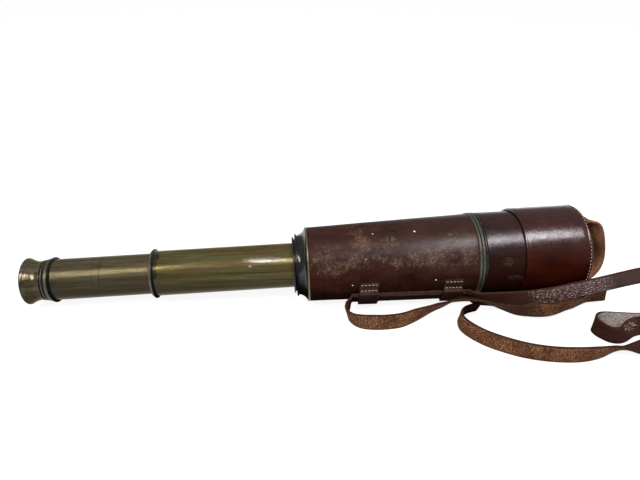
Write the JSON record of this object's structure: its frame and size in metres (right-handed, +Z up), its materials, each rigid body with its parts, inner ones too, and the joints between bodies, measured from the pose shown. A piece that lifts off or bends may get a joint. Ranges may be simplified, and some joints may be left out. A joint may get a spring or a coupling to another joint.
{
  "type": "draw telescope",
  "caption": "Leather-covered brass draw telescope, partly drawn out, with a sliding ray shade, a leather front cap with a pull strap, and a loose leather sling strap.",
  "frame": {"origin": "on the ground below the middle of the telescope's length, midway across its width", "axes": "+X along the telescope towards the front cap, which rises two degrees; +Y away from the viewer of the picture; +Z up"},
  "size_m": [0.5448, 0.1371, 0.0778],
  "materials": {
    "barrel_leather": "dark maroon, worn to tan in patches",
    "cap_leather": "reddish brown, polished",
    "sling_leather": "dark brown grain side, speckled flesh side",
    "lining_leather": "plain",
    "draw_brass": "tarnished, streaked along its length",
    "green_brass": "dull green tarnish",
    "inner_brass": "drawn",
    "grey_metal": "dull",
    "blackened": "gloss black, rubbed",
    "lens_glass": "polished"
  },
  "bodies": {
    "barrel": {"barrel_tube": "inner_brass", "barrel_leather": "barrel_leather", "barrel_end_bead": "draw_brass", "barrel_collar": "blackened", "collar_flanges": "blackened", "barrel_slide_sleeve": "inner_brass", "barrel_front_ring": "green_brass", "objective_cell": "blackened", "crown_lens": "lens_glass", "lens_spacer_ring": "blackened", "flint_lens": "lens_glass", "objective_retaining_ring": "blackened", "barrel_baffle": "blackened", "rear_keeper": "barrel_leather", "front_keeper": "barrel_leather", "sling_middle": "sling_leather", "sling_rear": "sling_leather", "sling_front": "sling_leather"},
    "large_draw": {"large_draw_tube": "draw_brass", "large_draw_collar": "green_brass", "large_draw_sleeve": "inner_brass", "large_draw_stop_ring": "inner_brass"},
    "eye_draw": {"eye_draw_tube": "draw_brass", "eyepiece_bead_ring": "blackened", "eyepiece_grip_ring": "green_brass", "eyepiece_grey_ring": "grey_metal", "eyecup": "draw_brass", "eye_lens": "lens_glass", "field_lens": "lens_glass", "eyepiece_lens_tube": "blackened", "field_stop": "blackened", "erector_tube": "inner_brass", "erector_lens_rear": "lens_glass", "erector_lens_front": "lens_glass", "erector_stop": "blackened", "eye_draw_stop_ring": "inner_brass"},
    "ray_shade": {"shade_tube": "inner_brass", "shade_leather": "cap_leather", "shade_rear_ring": "green_brass", "shade_front_ring": "draw_brass"},
    "front_cap": {"cap_wall": "cap_leather", "cap_end": "cap_leather", "cap_lining": "lining_leather", "cap_pull_strap": "sling_leather"}
  },
  "joints": [
    {"name": "large_draw_slide", "type": "slide", "parent": "barrel", "child": "large_draw", "axis": [-0.9994, 0, -0.0349], "range_m": [-0.1134, 0.0488]},
    {"name": "eye_draw_slide", "type": "slide", "parent": "large_draw", "child": "eye_draw", "axis": [-0.9994, 0, -0.0349], "range_m": [-0.0786, 0.0816]},
    {"name": "shade_slide", "type": "slide", "parent": "barrel", "child": "ray_shade", "axis": [0.9994, 0, 0.0349], "range_m": [0, 0.045]},
    {"name": "cap_pull", "type": "slide", "parent": "ray_shade", "child": "front_cap", "axis": [0.9994, 0, 0.0349], "range_m": [0, 0.06]}
  ]
}
